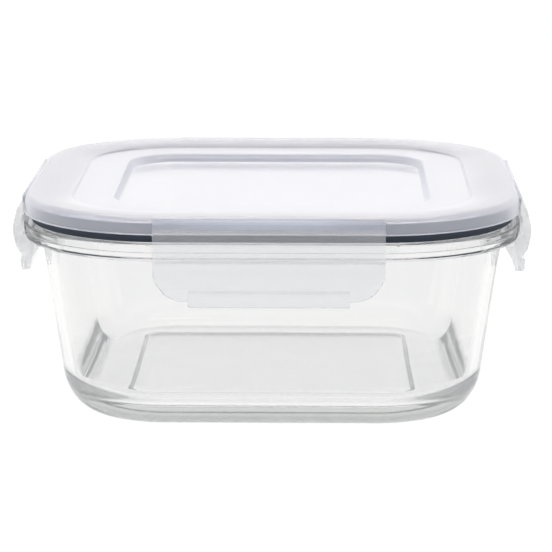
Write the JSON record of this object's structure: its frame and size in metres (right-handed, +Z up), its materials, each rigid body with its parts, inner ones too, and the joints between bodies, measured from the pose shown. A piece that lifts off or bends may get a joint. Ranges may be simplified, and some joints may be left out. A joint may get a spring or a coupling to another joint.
{
  "type": "snap lid food container",
  "caption": "Square clear glass food dish with a translucent lid that clips on with hinged side latches over a soft sealing ring.",
  "frame": {"origin": "centre of the bottom of the whole object's box, in the plane it stands on", "axes": "+Z up, from the base to the lid; +X to the right and -Y to the front, each square to a pair of side walls"},
  "size_m": [0.157, 0.157, 0.0663],
  "materials": {
    "glass": "clear fire-polished pressed glass",
    "lid_plastic": "milky translucent polypropylene, satin gloss",
    "latch_plastic": "milky translucent polypropylene, satin gloss",
    "silicone": "smooth matt grey-blue silicone"
  },
  "bodies": {
    "container": {"glass_dish": "glass"},
    "lid": {"lid": "lid_plastic", "silicone_seal": "silicone", "hinge_web_front": "lid_plastic", "hinge_web_right": "lid_plastic", "hinge_web_back": "lid_plastic", "hinge_web_left": "lid_plastic"},
    "latch_front": {"latch_front": "latch_plastic"},
    "latch_right": {"latch_right": "latch_plastic"},
    "latch_back": {"latch_back": "latch_plastic"},
    "latch_left": {"latch_left": "latch_plastic"}
  },
  "joints": [
    {"name": "lid_lift", "type": "slide", "parent": "container", "child": "lid", "axis": [0, 0, 1], "range_m": [0, 0.12]},
    {"name": "latch_front_hinge", "type": "hinge", "parent": "lid", "child": "latch_front", "pos_m": [0, -0.0751, 0.0635], "axis": [-1, 0, 0], "range_deg": [0, 135], "deforming": ["hinge_web_front"]},
    {"name": "latch_right_hinge", "type": "hinge", "parent": "lid", "child": "latch_right", "pos_m": [0.0751, 0, 0.0635], "axis": [0, -1, 0], "range_deg": [0, 135], "deforming": ["hinge_web_right"]},
    {"name": "latch_back_hinge", "type": "hinge", "parent": "lid", "child": "latch_back", "pos_m": [0, 0.0751, 0.0635], "axis": [1, 0, 0], "range_deg": [0, 135], "deforming": ["hinge_web_back"]},
    {"name": "latch_left_hinge", "type": "hinge", "parent": "lid", "child": "latch_left", "pos_m": [-0.0751, 0, 0.0635], "axis": [0, 1, 0], "range_deg": [0, 135], "deforming": ["hinge_web_left"]}
  ]
}
